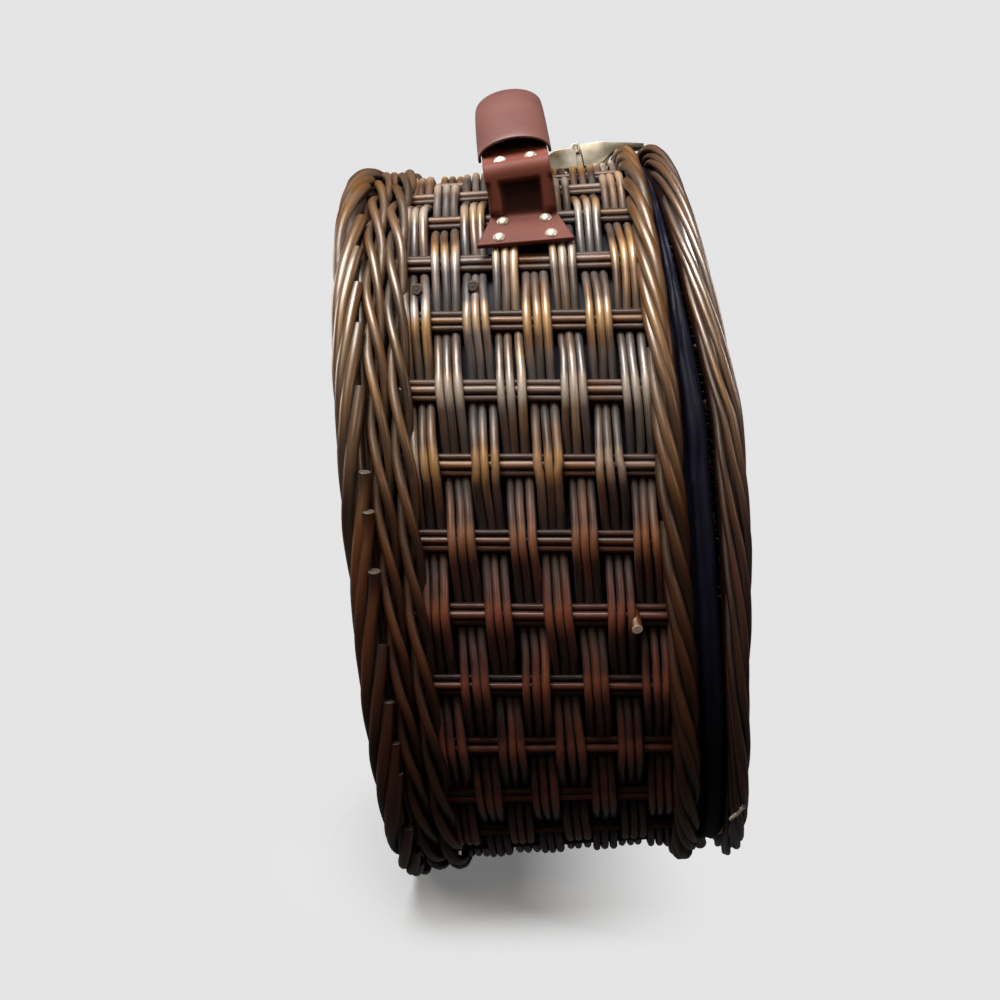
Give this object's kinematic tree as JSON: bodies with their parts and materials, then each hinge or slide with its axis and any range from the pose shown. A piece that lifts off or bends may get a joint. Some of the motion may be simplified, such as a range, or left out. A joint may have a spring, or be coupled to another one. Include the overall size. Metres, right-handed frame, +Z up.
{
  "type": "wicker picnic basket",
  "caption": "Rounded upright picnic case of dark woven willow with rope borders, a lid hinged at the foot, navy cloth lining, riveted leather handle on top and a brass hasp.",
  "frame": {"origin": "floor level under the middle of the bounding box", "axes": "+Z up, X along the width, Y along the depth with the lid at -Y and the back at +Y"},
  "size_m": [0.369, 0.1616, 0.3859],
  "materials": {
    "woven_willow": "dark stained willow, satin varnish",
    "border_willow": "dark stained willow, satin varnish",
    "navy_cloth": "navy plain-weave cotton",
    "red_leather": "red-brown smooth leather, satin",
    "brass": "pale polished brass",
    "hinge_steel": "plain steel"
  },
  "bodies": {
    "basket": {"back_border": "border_willow", "back_wale_outer": "border_willow", "back_wale_inner": "border_willow", "body_rim": "border_willow", "body_wall": "woven_willow", "back_panel": "woven_willow", "lining": "navy_cloth", "handle_grip": "red_leather", "handle_strap_left": "red_leather", "handle_strap_right": "red_leather", "clasp_base": "brass", "clasp_pin": "brass", "handle_rivet_left_1": "brass", "handle_rivet_left_2": "brass", "handle_rivet_left_3": "brass", "handle_rivet_left_4": "brass", "handle_rivet_left_5": "brass", "handle_rivet_left_6": "brass", "hinge_leaf_body_left": "hinge_steel", "hinge_pin_left": "hinge_steel", "handle_rivet_right_1": "brass", "handle_rivet_right_2": "brass", "handle_rivet_right_3": "brass", "handle_rivet_right_4": "brass", "handle_rivet_right_5": "brass", "handle_rivet_right_6": "brass", "hinge_leaf_body_right": "hinge_steel", "hinge_pin_right": "hinge_steel"},
    "lid": {"lid_panel": "woven_willow", "lid_border": "border_willow", "hinge_leaf_lid_left": "hinge_steel", "hinge_leaf_lid_right": "hinge_steel"},
    "clasp": {"clasp_tongue": "brass"}
  },
  "joints": [
    {"name": "lid_hinge", "type": "hinge", "parent": "basket", "child": "lid", "pos_m": [0, -0.06185, 0.0046], "axis": [1, 0, 0], "range_deg": [0, 105]},
    {"name": "clasp_lift", "type": "hinge", "parent": "basket", "child": "clasp", "pos_m": [0, -0.0265, 0.3561], "axis": [-1, 0, 0], "range_deg": [0, 100]}
  ]
}
